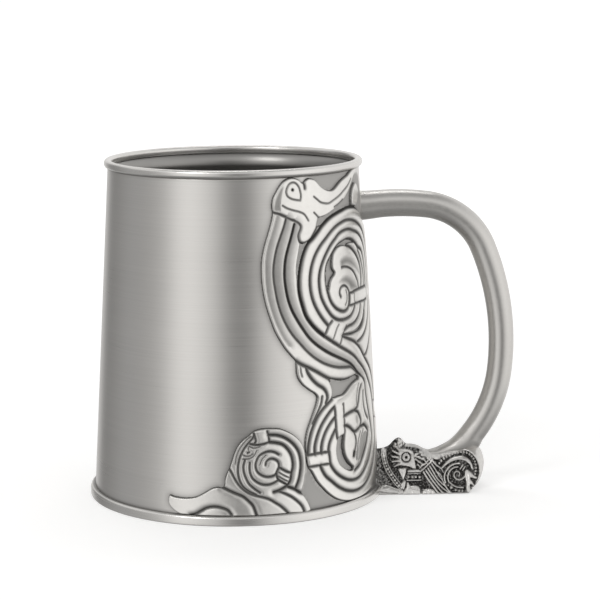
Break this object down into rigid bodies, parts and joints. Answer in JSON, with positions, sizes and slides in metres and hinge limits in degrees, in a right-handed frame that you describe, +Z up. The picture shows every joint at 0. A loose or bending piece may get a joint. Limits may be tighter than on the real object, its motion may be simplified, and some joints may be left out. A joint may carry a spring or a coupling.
{
  "type": "tankard",
  "caption": "Lidless tapering pewter tankard with a round C handle, a cast beast terminal and raised interlace ornament on the drum.",
  "frame": {"origin": "on the drum's axis, in the plane of the foot ring's underside", "axes": "+Z up along the drum's axis; +X from the axis towards the handle; the handle's plane is Y = 0"},
  "size_m": [0.1503, 0.1036, 0.118],
  "materials": {
    "pewter_wall": "fine circumferential brushing, soft satin",
    "pewter_trim": "polished satin",
    "pewter_handle": "polished satin, lightly oxidised",
    "pewter_cast": "cast relief, rubbed bright with dark recesses",
    "pewter_oxidised": "cast relief, blackened recesses",
    "solder": "satin"
  },
  "bodies": {
    "root": {"drum": "pewter_wall", "rim_bead": "pewter_trim", "foot_ring": "pewter_trim", "bottom_plate": "pewter_wall", "bottom_solder_fillet": "solder", "handle": "pewter_handle", "handle_collar": "solder", "beast_terminal": "pewter_oxidised", "knotwork_mount_near": "pewter_cast", "knotwork_mount_far": "pewter_cast", "scroll_mount_near": "pewter_cast", "scroll_mount_far": "pewter_cast"}
  },
  "joints": []
}
